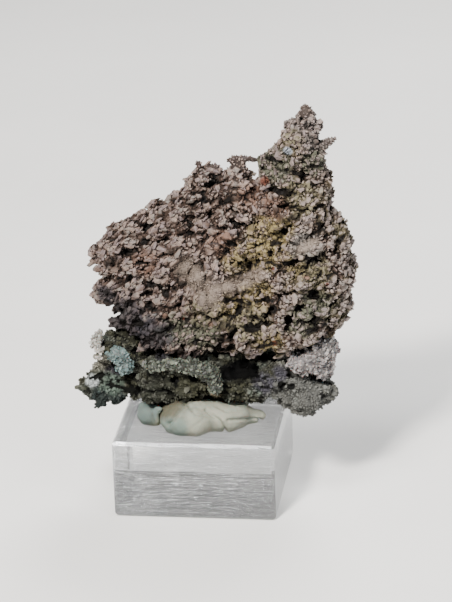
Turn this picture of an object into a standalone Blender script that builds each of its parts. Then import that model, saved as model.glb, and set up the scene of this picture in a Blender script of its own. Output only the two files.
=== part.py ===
"""Native silver on matrix, held by putty on a clear block.

Metres, +Z up. The origin is the centre of the block's underside; +X runs along the specimen's
width and -Y points to its front. Every length below is written in millimetres, times MM.
"""

import math
import random

import bmesh
import bpy
import numpy as np
from mathutils import Matrix, Vector, noise

MM = 0.001
GAP = 0.35 * MM  # clearance between touching solids
FACET_ALLOWANCE = 0.2 * MM  # extra clearance, because the solids are faceted
NOISE_SEED = 3
PICKER_SEED = 7

# Edge lengths of the skins that fuse overlapping shapes
SHEET_VOXEL = 0.75 * MM
ROCK_VOXEL = 0.6 * MM
SILVER_VOXEL = 0.5 * MM
MINERAL_VOXEL = 0.45 * MM
SPRIG_VOXEL = 0.3 * MM
ROOM_VOXEL = 0.5 * MM

# Clear display block
BLOCK_WIDTH = 30 * MM
BLOCK_HEIGHT = 15 * MM
BLOCK_BEVEL = 0.7 * MM

# Silver: thickness of the growth, front to back, in mm
SILVER_HALF_DEPTH_BASE = 9.0  # at the foot of the growth
SILVER_HALF_DEPTH_TOP = 4.0  # at the peak
SILVER_RIM = 1.4  # half thickness at the very edge of the growth
SILVER_ROUNDING = 8.0  # how far in from the edge the growth keeps getting thicker
SILVER_FOOT = 25.0  # height where the growth is deepest
SILVER_PEAK = 75.0
SWELL = 1.1  # rise and fall of the broad swellings on its two faces
SWELL_SIZE = 8.0

# Crystal lumps that cover the silver
LUMP_SPACING = 3.3 * MM
LUMP_RADII = (1.5 * MM, 2.35 * MM)
LUMP_SINK = 0.62  # share of a lump's radius that lies under the growth's surface
SILVER_TRIANGLES = 5500
SPRIG_TRIANGLES = 70

# The growth's outline seen from the front, as (x, z) in mm, clockwise from the peak
SILVER_OUTLINE = [
    (20.4, 74.4), (21.8, 72.8), (23.6, 71.2), (23.0, 68.8), (23.6, 65.8), (24.2, 63.2),
    (25.6, 60.0), (25.2, 57.2), (26.8, 54.4), (28.9, 51.9), (28.6, 48.4), (29.8, 44.6),
    (28.8, 41.2), (29.2, 38.4), (28.0, 35.4), (26.0, 32.8), (23.6, 30.6), (19.5, 28.6),
    (10.0, 28.2), (-2.0, 28.4), (-9.5, 28.6), (-14.2, 31.4), (-16.4, 34.3), (-15.8, 36.9),
    (-19.2, 37.2), (-18.0, 40.2), (-18.7, 43.3), (-19.8, 46.2), (-18.2, 49.8), (-14.8, 52.4),
    (-11.8, 53.7), (-8.4, 55.4), (-5.8, 57.4), (-3.2, 59.8), (-1.0, 62.0), (1.3, 62.4),
    (2.8, 61.0), (5.0, 62.0), (6.8, 63.8), (9.0, 63.4), (9.5, 60.4), (11.0, 60.0),
    (11.2, 63.2), (12.0, 66.0), (14.4, 67.9), (16.2, 69.4), (17.4, 71.2), (19.0, 73.2),
]

# Hollows between the crystal clusters on the front face, as (x, z) in mm
FRONT_PITS = [
    (-10.2, 51.2), (-3.6, 45.2), (4.7, 49.4), (9.3, 46.9), (-8.4, 42.6), (13.0, 38.2),
    (18.4, 38.5), (21.0, 41.2), (16.2, 35.8), (5.9, 33.8), (7.2, 38.0), (-12.2, 38.4),
    (-1.6, 54.2), (16.4, 58.6), (20.6, 62.4), (23.4, 47.6), (0.8, 35.6), (11.4, 54.0),
]
PIT_REACH = 2.0 * MM
PIT_DEPTH = 1.5 * MM

# Sprigs that stand clear of the outline: root, tip (x, y, z in mm) and root radius
SPRIGS = [
    ((0.5, 0.0, 60.6), (0.4, -0.4, 64.6), 1.2),
    ((3.6, 0.6, 60.2), (3.8, 0.6, 63.9), 0.9),
    ((13.0, 0.4, 64.9), (5.4, -0.4, 65.2), 0.8),
    ((6.8, 0.0, 62.4), (6.4, -0.2, 65.2), 0.9),
    ((22.4, 0.0, 67.4), (25.9, -0.4, 69.3), 1.1),
    ((-16.8, -1.0, 38.8), (-20.2, -1.6, 36.9), 1.2),
    ((20.4, 0.0, 72.4), (20.4, 0.0, 75.2), 1.4),
]

# Host rock: centre, radii (x, y, z in mm) and turn about Y in degrees
ROCK_LUMPS = [
    ((-17.6, -2.8, 20.6), (6.2, 5.6, 2.9), 6),  # shelf on the left
    ((-15.4, 0.2, 26.6), (4.3, 5.0, 4.8), -20),
    ((-8.4, -4.2, 21.6), (4.6, 4.8, 3.9), 0),  # granular lump beside the shelf
    ((-2.0, -1.0, 23.4), (9.6, 8.0, 4.2), 4),
    ((-3.0, -4.0, 26.6), (8.4, 4.9, 1.7), 3),  # ledge that carries the pale seam
    ((8.6, 0.2, 22.2), (9.6, 7.8, 4.6), -3),
    ((19.4, -2.2, 21.2), (6.0, 7.2, 4.6), 0),  # rounded lobe on the right
    ((14.6, -4.2, 25.4), (4.6, 4.4, 2.4), 10),
    ((2.0, 2.6, 30.0), (17.5, 5.6, 7.0), 2),  # core that the silver grew over
    ((18.8, 2.0, 27.6), (5.4, 5.0, 4.6), 0),
    ((-4.0, 5.2, 22.6), (9.2, 5.2, 5.2), 0),
    ((12.0, 5.2, 23.0), (8.8, 5.2, 5.4), 0),
]
ROCK_BLOCKS = (4.2 * MM, 3.4 * MM, 2.6 * MM)  # usual size of the blocks it breaks into
ROCK_STEP = 1.0 * MM  # height of the steps between those blocks
ROCK_ROUGHNESS = 0.35 * MM
ROCK_GRAIN = 3.2 * MM
ROCK_SEED = 4.0
ROCK_TRIANGLES = 1950

# Openings in the rock's face: centre, radii (mm) and turn about Y in degrees
ROCK_HOLLOWS = [
    ((8.2, -8.0, 25.2), (3.3, 4.6, 1.9), -4),  # dark cavity under the silver
    ((-12.6, -7.4, 21.4), (0.8, 3.6, 2.4), 12),  # gap beside the shelf
    ((16.2, -9.6, 22.8), (2.6, 2.2, 0.7), 0),  # slit above the right lobe
]

# Minerals set in the host rock: centre, radii (mm), turn about Y in degrees
CALCITE_LUMPS = [
    ((22.4, -1.4, 29.0), (3.0, 4.4, 3.4), 20),
    ((19.4, -4.4, 27.6), (3.2, 3.2, 1.9), 12),
    ((22.8, -2.4, 26.2), (2.3, 3.4, 2.6), 0),
]
CREAM_LUMPS = [
    ((-18.6, -2.4, 29.8), (1.4, 1.7, 2.2), 15),
    ((-17.4, -4.2, 28.0), (1.7, 1.6, 1.6), 0),
]
BLUE_GREEN_LUMPS = [
    ((-14.8, -5.2, 28.2), (2.2, 1.6, 1.8), 0),
    ((-13.4, -5.4, 26.2), (1.6, 1.5, 1.6), 0),
]
SEAM_LUMPS = [
    ((-7.4, -8.2, 27.6), (2.4, 1.4, 0.9), -6),
    ((-3.6, -8.6, 28.0), (2.4, 1.5, 1.0), 2),
    ((-0.2, -8.8, 27.7), (2.2, 1.6, 1.5), 0),
    ((2.6, -8.8, 26.8), (2.1, 1.5, 1.5), 20),
    ((3.6, -8.6, 24.2), (1.5, 1.5, 1.8), 0),
]

# Name, lumps, height of the surface's roughness (mm), noise seed and triangles
MINERALS = [
    ("pink_calcite", CALCITE_LUMPS, 0.35, 2.0, 330),
    ("cream_calcite_knobs", CREAM_LUMPS, 0.25, 5.0, 180),
    ("blue_green_crust", BLUE_GREEN_LUMPS, 0.25, 8.0, 200),
    ("pale_green_seam", SEAM_LUMPS, 0.3, 11.0, 330),
]
MINERAL_GRAIN = 1.8 * MM  # size of the bumps on them

# Putty, pressed flat on the block: centre, radii (mm), turn about Z in degrees
FRONT_WAD_LUMPS = [
    ((-1.6, -6.4, 17.0), (5.6, 5.6, 3.9), 20),
    ((5.0, -4.8, 16.8), (4.4, 4.9, 3.7), -20),
    ((0.6, 0.5, 17.0), (8.0, 6.4, 3.6), 0),
    ((9.6, -3.8, 16.0), (2.8, 1.2, 1.2), 14),
]
LEFT_WAD_LUMPS = [
    ((-8.4, -3.4, 16.6), (2.9, 4.2, 3.4), -24),
    ((-6.0, -6.4, 17.8), (2.1, 3.2, 4.0), -30),
]


FRONT_WAD_TRIANGLES = 520
LEFT_WAD_TRIANGLES = 280
PUTTY_SWELL = 0.25 * MM  # soft rise and fall of the pressed surface
PUTTY_SWELL_SIZE = 3.5 * MM

# Colour, roughness, metallic and transmission of each piece
FINISHES = {
    "display_block": ("clear_acrylic", (0.95, 0.96, 0.97), 0.03, 0.0, 1.0),
    "front_putty_wad": ("pale_putty", (0.58, 0.62, 0.52), 0.7, 0.0, 0.0),
    "left_putty_wad": ("blue_green_putty", (0.42, 0.55, 0.48), 0.7, 0.0, 0.0),
    "host_rock": ("dark_host_rock", (0.12, 0.13, 0.12), 0.85, 0.0, 0.0),
    "pink_calcite": ("pink_white_calcite", (0.62, 0.55, 0.52), 0.6, 0.0, 0.0),
    "cream_calcite_knobs": ("cream_calcite", (0.66, 0.62, 0.52), 0.6, 0.0, 0.0),
    "blue_green_crust": ("blue_green_mineral", (0.35, 0.52, 0.48), 0.6, 0.0, 0.0),
    "pale_green_seam": ("pale_green_mineral", (0.38, 0.43, 0.35), 0.65, 0.0, 0.0),
    "native_silver": ("tarnished_silver", (0.36, 0.29, 0.25), 0.5, 0.6, 0.0),
}


def clear_scene():
    for obj in list(bpy.data.objects):
        bpy.data.objects.remove(obj)


def material(name, colour, roughness, metallic, transmission):
    made = bpy.data.materials.new(name)
    made.use_nodes = True
    shader = made.node_tree.nodes["Principled BSDF"]
    shader.inputs["Base Color"].default_value = (*colour, 1.0)
    shader.inputs["Roughness"].default_value = roughness
    shader.inputs["Metallic"].default_value = metallic
    shader.inputs["Transmission Weight"].default_value = transmission
    return made


def new_object(name, mesh, collection):
    obj = bpy.data.objects.new(name, mesh)
    collection.objects.link(obj)
    return obj


def settle(obj):
    """Replaces the object's mesh by its evaluated one and drops its modifiers."""
    graph = bpy.context.evaluated_depsgraph_get()
    graph.update()
    mesh = bpy.data.meshes.new_from_object(obj.evaluated_get(graph))
    obj.modifiers.clear()
    obj.data = mesh


def remesh(obj, voxel):
    modifier = obj.modifiers.new("Skin", "REMESH")
    modifier.mode = "VOXEL"
    modifier.voxel_size = voxel
    settle(obj)


def decimate(obj, triangles):
    bm = bmesh.new()
    bm.from_mesh(obj.data)
    bmesh.ops.triangulate(bm, faces=bm.faces)
    count = len(bm.faces)
    bm.to_mesh(obj.data)
    bm.free()
    if count > triangles:
        modifier = obj.modifiers.new("Fewer faces", "DECIMATE")
        modifier.ratio = triangles / count
        settle(obj)


def keep_largest(obj):
    """Keeps the connected shell with the most faces: drops crumbs and sealed hollows."""
    bm = bmesh.new()
    bm.from_mesh(obj.data)
    unseen = set(bm.verts)
    shells = []
    while unseen:
        shell, edge = set(), [unseen.pop()]
        while edge:
            vert = edge.pop()
            shell.add(vert)
            for link in vert.link_edges:
                other = link.other_vert(vert)
                if other in unseen:
                    unseen.remove(other)
                    edge.append(other)
        shells.append(shell)
    shells.sort(key=len)
    loose = [vert for shell in shells[:-1] for vert in shell]
    bmesh.ops.delete(bm, geom=loose, context="VERTS")
    bm.to_mesh(obj.data)
    bm.free()


def add_ball(bm, centre, radii, turn=Matrix.Identity(3), subdivisions=2):
    """Adds an icosphere with three radii, turned about its own centre."""
    place = Matrix.Translation(centre) @ turn.to_4x4() @ Matrix.Diagonal((*radii, 1.0))
    bmesh.ops.create_icosphere(bm, subdivisions=subdivisions, radius=1.0, matrix=place)


def lump_mesh(name, lumps, turn_axis, collection):
    """One mesh of overlapping ellipsoids."""
    bm = bmesh.new()
    for centre, radii, degrees in lumps:
        turn = Matrix.Rotation(math.radians(degrees), 3, turn_axis)
        add_ball(bm, Vector(centre) * MM, [r * MM for r in radii], turn, 3)
    mesh = bpy.data.meshes.new(name)
    bm.to_mesh(mesh)
    bm.free()
    return new_object(name, mesh, collection)


def roughen(obj, height, scale, seed):
    """Moves each vertex along its normal by smooth noise with ridges."""
    shift = Vector((seed, -seed, seed * 0.5))
    moves = []
    for vert in obj.data.vertices:
        point = vert.co / scale + shift
        ridge = 0.5 - abs(noise.noise(point))
        fine = noise.noise(point * 2.3)
        moves.append(vert.normal * height * (1.4 * ridge + 0.7 * fine - 0.35))
    for vert, move in zip(obj.data.vertices, moves):
        vert.co += move


def fracture(obj, blocks, step, seed):
    """Moves each vertex in or out by one amount for each rough block, which leaves ledges."""
    shift = Vector((seed, seed * 2.0, seed * 3.0))
    moves = []
    for vert in obj.data.vertices:
        warp = noise.noise_vector(vert.co / (6 * MM) + shift) * 1.2 * MM
        place = vert.co + warp
        cell = Vector([place[axis] / blocks[axis] for axis in range(3)]) + shift
        moves.append(vert.normal * step * (noise.cell(cell) - 0.1))
    for vert, move in zip(obj.data.vertices, moves):
        vert.co += move


def room_for(obj, triangles, cutters):
    """A copy grown outwards on all sides, for cutting a neighbour clear of the object."""
    copy = new_object(obj.name + "_room", obj.data.copy(), cutters)
    remesh(copy, ROOM_VOXEL)
    for vert, normal in [(v, v.normal.copy()) for v in copy.data.vertices]:
        vert.co += normal * (GAP + FACET_ALLOWANCE)
    remesh(copy, ROOM_VOXEL)
    keep_largest(copy)
    decimate(copy, triangles)
    hide_cutter(copy)
    return copy


def hide_cutter(obj):
    obj.hide_render = True
    obj.display_type = "WIRE"


def cut(obj, *tools):
    for tool in tools:
        modifier = obj.modifiers.new("Clear of " + tool.name, "BOOLEAN")
        modifier.operation = "DIFFERENCE"
        modifier.object = tool
        settle(obj)
    keep_largest(obj)


def distance_to_outline(points, outline):
    """Distance from each (x, z) point to the closed outline."""
    nearest = np.full(len(points), np.inf)
    corners = np.array(outline)
    for start, end in zip(corners, np.roll(corners, -1, axis=0)):
        run = end - start
        along = np.clip((points - start) @ run / (run @ run), 0, 1)
        nearest = np.minimum(nearest, np.linalg.norm(points - start - along[:, None] * run, axis=1))
    return nearest


def silver_half_depth(height, inset):
    """Half thickness of the growth in mm: deep at its foot, thin at the peak and at the rim."""
    up = np.clip((height - SILVER_FOOT) / (SILVER_PEAK - SILVER_FOOT), 0, 1)
    full = SILVER_HALF_DEPTH_BASE + (SILVER_HALF_DEPTH_TOP - SILVER_HALF_DEPTH_BASE) * up
    inward = np.clip(inset / SILVER_ROUNDING, 0, 1)
    return SILVER_RIM + (full - SILVER_RIM) * np.sqrt(1 - (1 - inward) ** 2)


def silver_middle(x, z):
    """How far the growth's middle sheet bows forward (-) or back (+), in mm."""
    return -1.6 * np.sin((x + 6.0) / 9.0) * np.sin((z - 20.0) / 14.0)


def silver_swell(point):
    """Share by which the growth is thicker or thinner at a point of its two faces."""
    return 1 + SWELL / SILVER_HALF_DEPTH_BASE * 2 * noise.noise(Vector(point) / SWELL_SIZE)


def silver_sheet(collection):
    """The growth without its lumps: the outline, swelled front and back."""
    curve = bpy.data.curves.new("silver_outline", "CURVE")
    curve.dimensions = "2D"
    curve.fill_mode = "BOTH"
    curve.extrude = SILVER_HALF_DEPTH_BASE * MM
    spline = curve.splines.new("POLY")
    spline.points.add(len(SILVER_OUTLINE) - 1)
    for point, (x, z) in zip(spline.points, SILVER_OUTLINE):
        point.co = (x * MM, z * MM, 0, 1)
    spline.use_cyclic_u = True
    sheet = new_object("silver_sheet", curve, collection)
    graph = bpy.context.evaluated_depsgraph_get()
    mesh = bpy.data.meshes.new_from_object(sheet.evaluated_get(graph))
    bpy.data.objects.remove(sheet)
    mesh.transform(Matrix.Rotation(math.radians(90), 4, "X"))
    bm = bmesh.new()
    bm.from_mesh(mesh)
    bmesh.ops.remove_doubles(bm, verts=bm.verts, dist=0.01 * MM)
    bm.to_mesh(mesh)
    bm.free()
    sheet = new_object("silver_sheet", mesh, collection)
    remesh(sheet, SHEET_VOXEL)
    points = np.array([v.co for v in sheet.data.vertices]) / MM
    inset = distance_to_outline(points[:, [0, 2]], SILVER_OUTLINE)
    depth = silver_half_depth(points[:, 2], inset)
    depth *= np.array([silver_swell(point) for point in points])
    points[:, 1] *= depth / SILVER_HALF_DEPTH_BASE
    points[:, 1] += silver_middle(points[:, 0], points[:, 2])
    for vert, point in zip(sheet.data.vertices, points):
        vert.co = Vector(point) * MM
    remesh(sheet, SHEET_VOXEL)
    return sheet


def left_share(x):
    """1 at the growth's left edge, 0 at its right edge."""
    return 1 - min(max((x / MM + 20) / 45, 0), 1)


def growth_way(x):
    """The way the crystals lengthen: along the slope on the left, upright on the right."""
    tilt = math.radians(75 - 40 * left_share(x))
    return Vector((math.cos(tilt), -0.25, math.sin(tilt))).normalized()


def scattered(points, spacing, picker):
    """Indices of points no nearer to each other than the spacing, in a seeded random order."""
    order = list(range(len(points)))
    picker.shuffle(order)
    cells = {}
    chosen = []
    for index in order:
        point = points[index]
        key = tuple(int(math.floor(c / spacing)) for c in point)
        near = (
            cells.get((key[0] + i, key[1] + j, key[2] + k), ())
            for i in (-1, 0, 1) for j in (-1, 0, 1) for k in (-1, 0, 1)
        )
        if all((point - other).length >= spacing for cell in near for other in cell):
            cells.setdefault(key, []).append(point)
            chosen.append(index)
    return chosen


def make_sprig(root, tip, radius, picker, collection):
    """A short branch of lumps that shrink towards its tip."""
    root, tip = Vector(root), Vector(tip)
    steps = max(3, round((tip - root).length / (0.8 * radius)))
    lumps = []
    for step in range(steps + 1):
        share = step / steps
        size = radius * (1 - 0.4 * share) * picker.uniform(0.9, 1.1)
        sway = Vector([picker.uniform(-0.2, 0.2) * size for _ in range(3)])
        lumps.append((root.lerp(tip, share) + sway, (size, size, size), 0))
    sprig = lump_mesh("sprig", lumps, "Y", collection)
    remesh(sprig, SPRIG_VOXEL)
    keep_largest(sprig)
    decimate(sprig, SPRIG_TRIANGLES)
    hide_cutter(sprig)
    return sprig


def join(obj, tool):
    modifier = obj.modifiers.new("With " + tool.name, "BOOLEAN")
    modifier.operation = "UNION"
    modifier.object = tool
    settle(obj)


def nearness_to_pit(point, normal):
    """1 at the middle of a front pit, 0 outside all of them and on the back."""
    if normal.y > -0.3:
        return 0.0
    nearest = min(math.hypot(point.x - x * MM, point.z - z * MM) for x, z in FRONT_PITS)
    return max(0.0, 1 - nearest / PIT_REACH)


def make_silver(cutters, collection):
    picker = random.Random(PICKER_SEED)
    silver = silver_sheet(collection)
    silver.name = "native_silver"
    points = [v.co.copy() for v in silver.data.vertices]
    normals = [v.normal.copy() for v in silver.data.vertices]
    hollow = [nearness_to_pit(*pair) for pair in zip(points, normals)]
    bm = bmesh.new()
    bm.from_mesh(silver.data)
    for vert, normal, near in zip(bm.verts, normals, hollow):
        vert.co -= normal * (LUMP_SINK * LUMP_RADII[0] + PIT_DEPTH * near)
    for index in scattered(points, LUMP_SPACING, picker):
        if hollow[index] > 0.2:
            continue
        size = picker.uniform(*LUMP_RADII)
        turn = growth_way(points[index].x).to_track_quat("Z", "Y").to_matrix()
        lengthen = picker.uniform(1.0, 1.3) + 0.5 * left_share(points[index].x)
        radii = (size * 0.85, size * picker.uniform(0.75, 1.0), size * lengthen)
        add_ball(bm, points[index] - normals[index] * size * LUMP_SINK, radii, turn)
    bm.to_mesh(silver.data)
    bm.free()
    remesh(silver, SILVER_VOXEL)
    keep_largest(silver)
    decimate(silver, SILVER_TRIANGLES)
    for root, tip, radius in SPRIGS:
        join(silver, make_sprig(root, tip, radius, picker, cutters))
    return silver


def make_rock(cutters, collection):
    rock = lump_mesh("host_rock", ROCK_LUMPS, "Y", collection)
    remesh(rock, ROCK_VOXEL)
    hollows = lump_mesh("rock_hollows", ROCK_HOLLOWS, "Y", cutters)
    hide_cutter(hollows)
    cut(rock, hollows)
    remesh(rock, ROCK_VOXEL)
    fracture(rock, ROCK_BLOCKS, ROCK_STEP, ROCK_SEED)
    roughen(rock, ROCK_ROUGHNESS, ROCK_GRAIN, ROCK_SEED)
    remesh(rock, ROCK_VOXEL)
    keep_largest(rock)
    decimate(rock, ROCK_TRIANGLES)
    return rock


def make_mineral(name, lumps, height, seed, triangles, collection):
    mineral = lump_mesh(name, lumps, "Y", collection)
    remesh(mineral, MINERAL_VOXEL)
    roughen(mineral, height * MM, MINERAL_GRAIN, seed)
    remesh(mineral, MINERAL_VOXEL)
    keep_largest(mineral)
    decimate(mineral, 2 * triangles)
    return mineral


def make_wad(name, lumps, seed, collection):
    wad = lump_mesh(name, lumps, "Z", collection)
    remesh(wad, MINERAL_VOXEL)
    roughen(wad, PUTTY_SWELL, PUTTY_SWELL_SIZE, seed)
    return wad


def flat_cutter(name, top, collection):
    """A wide slab whose top is at the given height: it trims what would reach below it."""
    size = 4 * BLOCK_WIDTH
    bm = bmesh.new()
    bmesh.ops.create_cube(bm, size=size)
    bmesh.ops.translate(bm, verts=bm.verts, vec=(0, 0, top - size / 2))
    mesh = bpy.data.meshes.new(name)
    bm.to_mesh(mesh)
    bm.free()
    slab = new_object(name, mesh, collection)
    hide_cutter(slab)
    return slab


def make_block(collection):
    bm = bmesh.new()
    bmesh.ops.create_cube(bm, size=1.0)
    bmesh.ops.scale(bm, vec=(BLOCK_WIDTH, BLOCK_WIDTH, BLOCK_HEIGHT), verts=bm.verts)
    bmesh.ops.translate(bm, vec=(0, 0, BLOCK_HEIGHT / 2), verts=bm.verts)
    mesh = bpy.data.meshes.new("display_block")
    bm.to_mesh(mesh)
    bm.free()
    block = new_object("display_block", mesh, collection)
    bevel = block.modifiers.new("Polished edges", "BEVEL")
    bevel.width = BLOCK_BEVEL
    bevel.segments = 2
    return block


def main():
    clear_scene()
    noise.seed_set(NOISE_SEED)
    specimen = bpy.data.collections.new("native_silver_on_matrix")
    cutters = bpy.data.collections.new("cutters")
    bpy.context.scene.collection.children.link(specimen)
    bpy.context.scene.collection.children.link(cutters)

    make_block(specimen)
    block_room = flat_cutter("block_room", BLOCK_HEIGHT + GAP, cutters)

    rock = make_rock(cutters, specimen)
    rock_room = room_for(rock, 3500, cutters)

    silver = make_silver(cutters, specimen)
    silver_room = room_for(silver, 7000, cutters)
    cut(silver, rock_room)
    decimate(silver, SILVER_TRIANGLES)

    taken = [rock_room, silver_room]
    for name, lumps, height, seed, triangles in MINERALS:
        mineral = make_mineral(name, lumps, height, seed, triangles, specimen)
        cut(mineral, *taken)
        decimate(mineral, triangles)
        taken.append(room_for(mineral, 2 * triangles, cutters))

    front_wad = make_wad("front_putty_wad", FRONT_WAD_LUMPS, 1.0, specimen)
    cut(front_wad, rock_room, block_room)
    decimate(front_wad, FRONT_WAD_TRIANGLES)
    front_room = room_for(front_wad, 2 * FRONT_WAD_TRIANGLES, cutters)
    left_wad = make_wad("left_putty_wad", LEFT_WAD_LUMPS, 6.0, specimen)
    cut(left_wad, rock_room, block_room, front_room)
    decimate(left_wad, LEFT_WAD_TRIANGLES)

    for name, finish in FINISHES.items():
        obj = bpy.data.objects[name]
        obj.data.materials.clear()
        obj.data.materials.append(material(*finish))
        print(name, len(obj.data.polygons))


main()
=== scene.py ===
# Native silver on matrix, held by putty on a clear block: the finished look.
import math

import bmesh
import bpy
import numpy as np
from mathutils import Matrix, Vector, noise
from mathutils.bvhtree import BVHTree


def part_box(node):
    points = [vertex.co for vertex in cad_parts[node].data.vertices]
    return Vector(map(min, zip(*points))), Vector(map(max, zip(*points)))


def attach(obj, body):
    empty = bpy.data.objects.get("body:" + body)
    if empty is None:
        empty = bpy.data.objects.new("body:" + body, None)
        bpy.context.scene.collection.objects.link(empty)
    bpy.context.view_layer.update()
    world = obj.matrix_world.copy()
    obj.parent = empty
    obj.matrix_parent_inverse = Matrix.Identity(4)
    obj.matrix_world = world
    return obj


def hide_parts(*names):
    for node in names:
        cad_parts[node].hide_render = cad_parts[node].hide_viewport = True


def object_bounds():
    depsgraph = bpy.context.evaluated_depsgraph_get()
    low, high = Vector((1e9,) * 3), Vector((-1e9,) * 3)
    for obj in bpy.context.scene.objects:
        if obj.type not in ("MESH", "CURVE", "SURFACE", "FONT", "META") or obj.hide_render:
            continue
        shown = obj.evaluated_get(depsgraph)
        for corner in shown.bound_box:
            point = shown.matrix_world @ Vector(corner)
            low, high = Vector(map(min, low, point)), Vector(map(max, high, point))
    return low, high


mm = 0.001
far = 99.0  # in mm, further than any part of the specimen
# marks on the front are given as (across, up) in mm on a plan that leans back a little:
# across = x + slant[0] * y and up = z + slant[1] * y
slant = (0.151, 0.394)
finestSize = 0.4  # in mm; crystals no larger than this grow everywhere, also on plates and twigs
sideEdges = (8.0, -2.0)  # x in mm where the left crystals begin and where they have taken over
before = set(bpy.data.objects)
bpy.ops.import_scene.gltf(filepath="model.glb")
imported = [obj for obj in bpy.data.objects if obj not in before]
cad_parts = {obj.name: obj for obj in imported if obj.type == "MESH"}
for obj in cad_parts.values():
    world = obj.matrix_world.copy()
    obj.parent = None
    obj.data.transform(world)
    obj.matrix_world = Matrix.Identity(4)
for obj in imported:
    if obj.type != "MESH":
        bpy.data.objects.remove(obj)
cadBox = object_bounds()
print("frame loaded")


# small tools for node trees

def socketNamed(sockets, key):
    if isinstance(key, int):
        return sockets[key]
    return next(s for s in sockets if s.name == key and s.enabled)


def plug(tree, socket, value):
    if isinstance(value, bpy.types.NodeSocket):
        tree.links.new(value, socket)
    else:
        socket.default_value = value


def addNode(tree, kind, inputs=None, **settings):
    node = tree.nodes.new(kind)
    for key, value in settings.items():
        setattr(node, key, value)
    for key, value in (inputs or {}).items():
        plug(tree, socketNamed(node.inputs, key), value)
    return node


def calc(tree, operation, first, second=0.0):
    return addNode(tree, "ShaderNodeMath", {0: first, 1: second}, operation=operation).outputs[0]


def vectorOf(tree, *parts):
    return addNode(tree, "ShaderNodeCombineXYZ", dict(enumerate(parts))).outputs[0]


def vectorCalc(tree, operation, first, second=None, scale=None):
    node = addNode(tree, "ShaderNodeVectorMath", {0: first}, operation=operation)
    if second is not None:
        plug(tree, node.inputs[1], second)
    if scale is not None:
        plug(tree, socketNamed(node.inputs, "Scale"), scale)
    return node.outputs["Value" if operation in ("LENGTH", "DISTANCE", "DOT_PRODUCT") else 0]


def remap(tree, value, low, high, toLow=0.0, toHigh=1.0):
    inputs = {"Value": value, "From Min": low, "From Max": high, "To Min": toLow, "To Max": toHigh}
    return addNode(tree, "ShaderNodeMapRange", inputs).outputs[0]


def noiseOf(tree, coords, size, detail=3.0, roughness=0.55, shift=0.0):
    # size is the width of one blotch in mm
    inputs = {"Vector": coords, "W": shift, "Scale": 1 / (size * mm), "Detail": detail,
              "Roughness": roughness}
    return addNode(tree, "ShaderNodeTexNoise", inputs, noise_dimensions="4D").outputs[0]


def stored(tree, geometry, name, value, kind="FLOAT", domain="POINT"):
    inputs = {"Geometry": geometry, "Name": name, "Value": value}
    return addNode(tree, "GeometryNodeStoreNamedAttribute", inputs, data_type=kind,
                   domain=domain).outputs[0]


def named(tree, name, kind="FLOAT"):
    node = addNode(tree, "GeometryNodeInputNamedAttribute", {"Name": name}, data_type=kind)
    return socketNamed(node.outputs, "Attribute")


def dropWhere(tree, geometry, first, operation, second):
    test = addNode(tree, "FunctionNodeCompare", {"A": first, "B": second}, data_type="FLOAT",
                   operation=operation)
    return addNode(tree, "GeometryNodeDeleteGeometry", {
        "Geometry": geometry, "Selection": test.outputs[0]}, domain="POINT").outputs[0]


# small tools for shader colours

def linear(tone):
    # tone is (r, g, b) from 0 to 255, as a screen shows it
    parts = [c / 255 for c in tone]
    return [c / 12.92 if c <= 0.04045 else ((c + 0.055) / 1.055) ** 2.4 for c in parts] + [1.0]


def blend(tree, share, first, second, mode="MIX"):
    node = tree.nodes.new("ShaderNodeMix")
    node.data_type = "RGBA"
    node.blend_type = mode
    node.clamp_factor = True
    plug(tree, node.inputs[0], share)
    for socket, value in ((node.inputs[6], first), (node.inputs[7], second)):
        plug(tree, socket, linear(value) if isinstance(value, tuple) else value)
    return node.outputs[2]


def ramp(tree, value, stops):
    # stops are (place, tone)
    node = addNode(tree, "ShaderNodeValToRGB", {"Fac": value})
    while len(node.color_ramp.elements) < len(stops):
        node.color_ramp.elements.new(0.5)
    for element, (place, tone) in zip(node.color_ramp.elements, stops):
        element.position = place
        element.color = linear(tone)
    return node.outputs[0]


def frontPlan(tree, coords):
    # the plan of the front as shader coordinates; what lies behind the middle is further off
    x, y, z = addNode(tree, "ShaderNodeSeparateXYZ", {0: coords}).outputs
    across = calc(tree, "ADD", x, calc(tree, "MULTIPLY", y, slant[0]))
    up = calc(tree, "ADD", z, calc(tree, "MULTIPLY", y, slant[1]))
    return vectorOf(tree, across, calc(tree, "MAXIMUM", y, 0.0), up)


def zone(tree, plan, spot, wobble, share=1.0):
    # share inside a patch of the front, 0 outside it, with an uneven edge
    # spot is (across, up, radius) in mm
    across, up, radius = (c * mm for c in spot)
    outer, inner, unevenness = radius * 1.4, radius * 0.8, radius * 1.6
    away = vectorCalc(tree, "DISTANCE", plan, (across, 0.0, up))
    away = calc(tree, "ADD", away, calc(tree, "MULTIPLY", wobble, unevenness))
    return remap(tree, away, outer, inner, 0.0, share)


def give(tree, shader, **values):
    # sets the shader's own sockets, or links to them; _ stands for a blank in their names
    for key, value in values.items():
        plug(tree, shader.inputs[key.replace("_", " ")], value)


def patched(tree, colour, plan, wobble, share, patches):
    # patches are a tone and its spots, as in zone
    for tint, *spots in patches:
        for spot in spots:
            colour = blend(tree, zone(tree, plan, spot, wobble, share), colour, tint)
    return colour


def newMaterial(name, roughness, **values):
    made = bpy.data.materials.new(name)
    made.use_nodes = True
    tree = made.node_tree
    shader = tree.nodes["Principled BSDF"]
    give(tree, shader, Roughness=roughness, **values)
    coords = tree.nodes.new("ShaderNodeTexCoord").outputs["Object"]
    return made, tree, shader, coords


def bumpOf(tree, shader, height, depth, strength=1.0):
    bump = addNode(tree, "ShaderNodeBump", {"Height": height, "Distance": depth * mm,
                                            "Strength": strength})
    give(tree, shader, Normal=bump.outputs[0])


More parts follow.
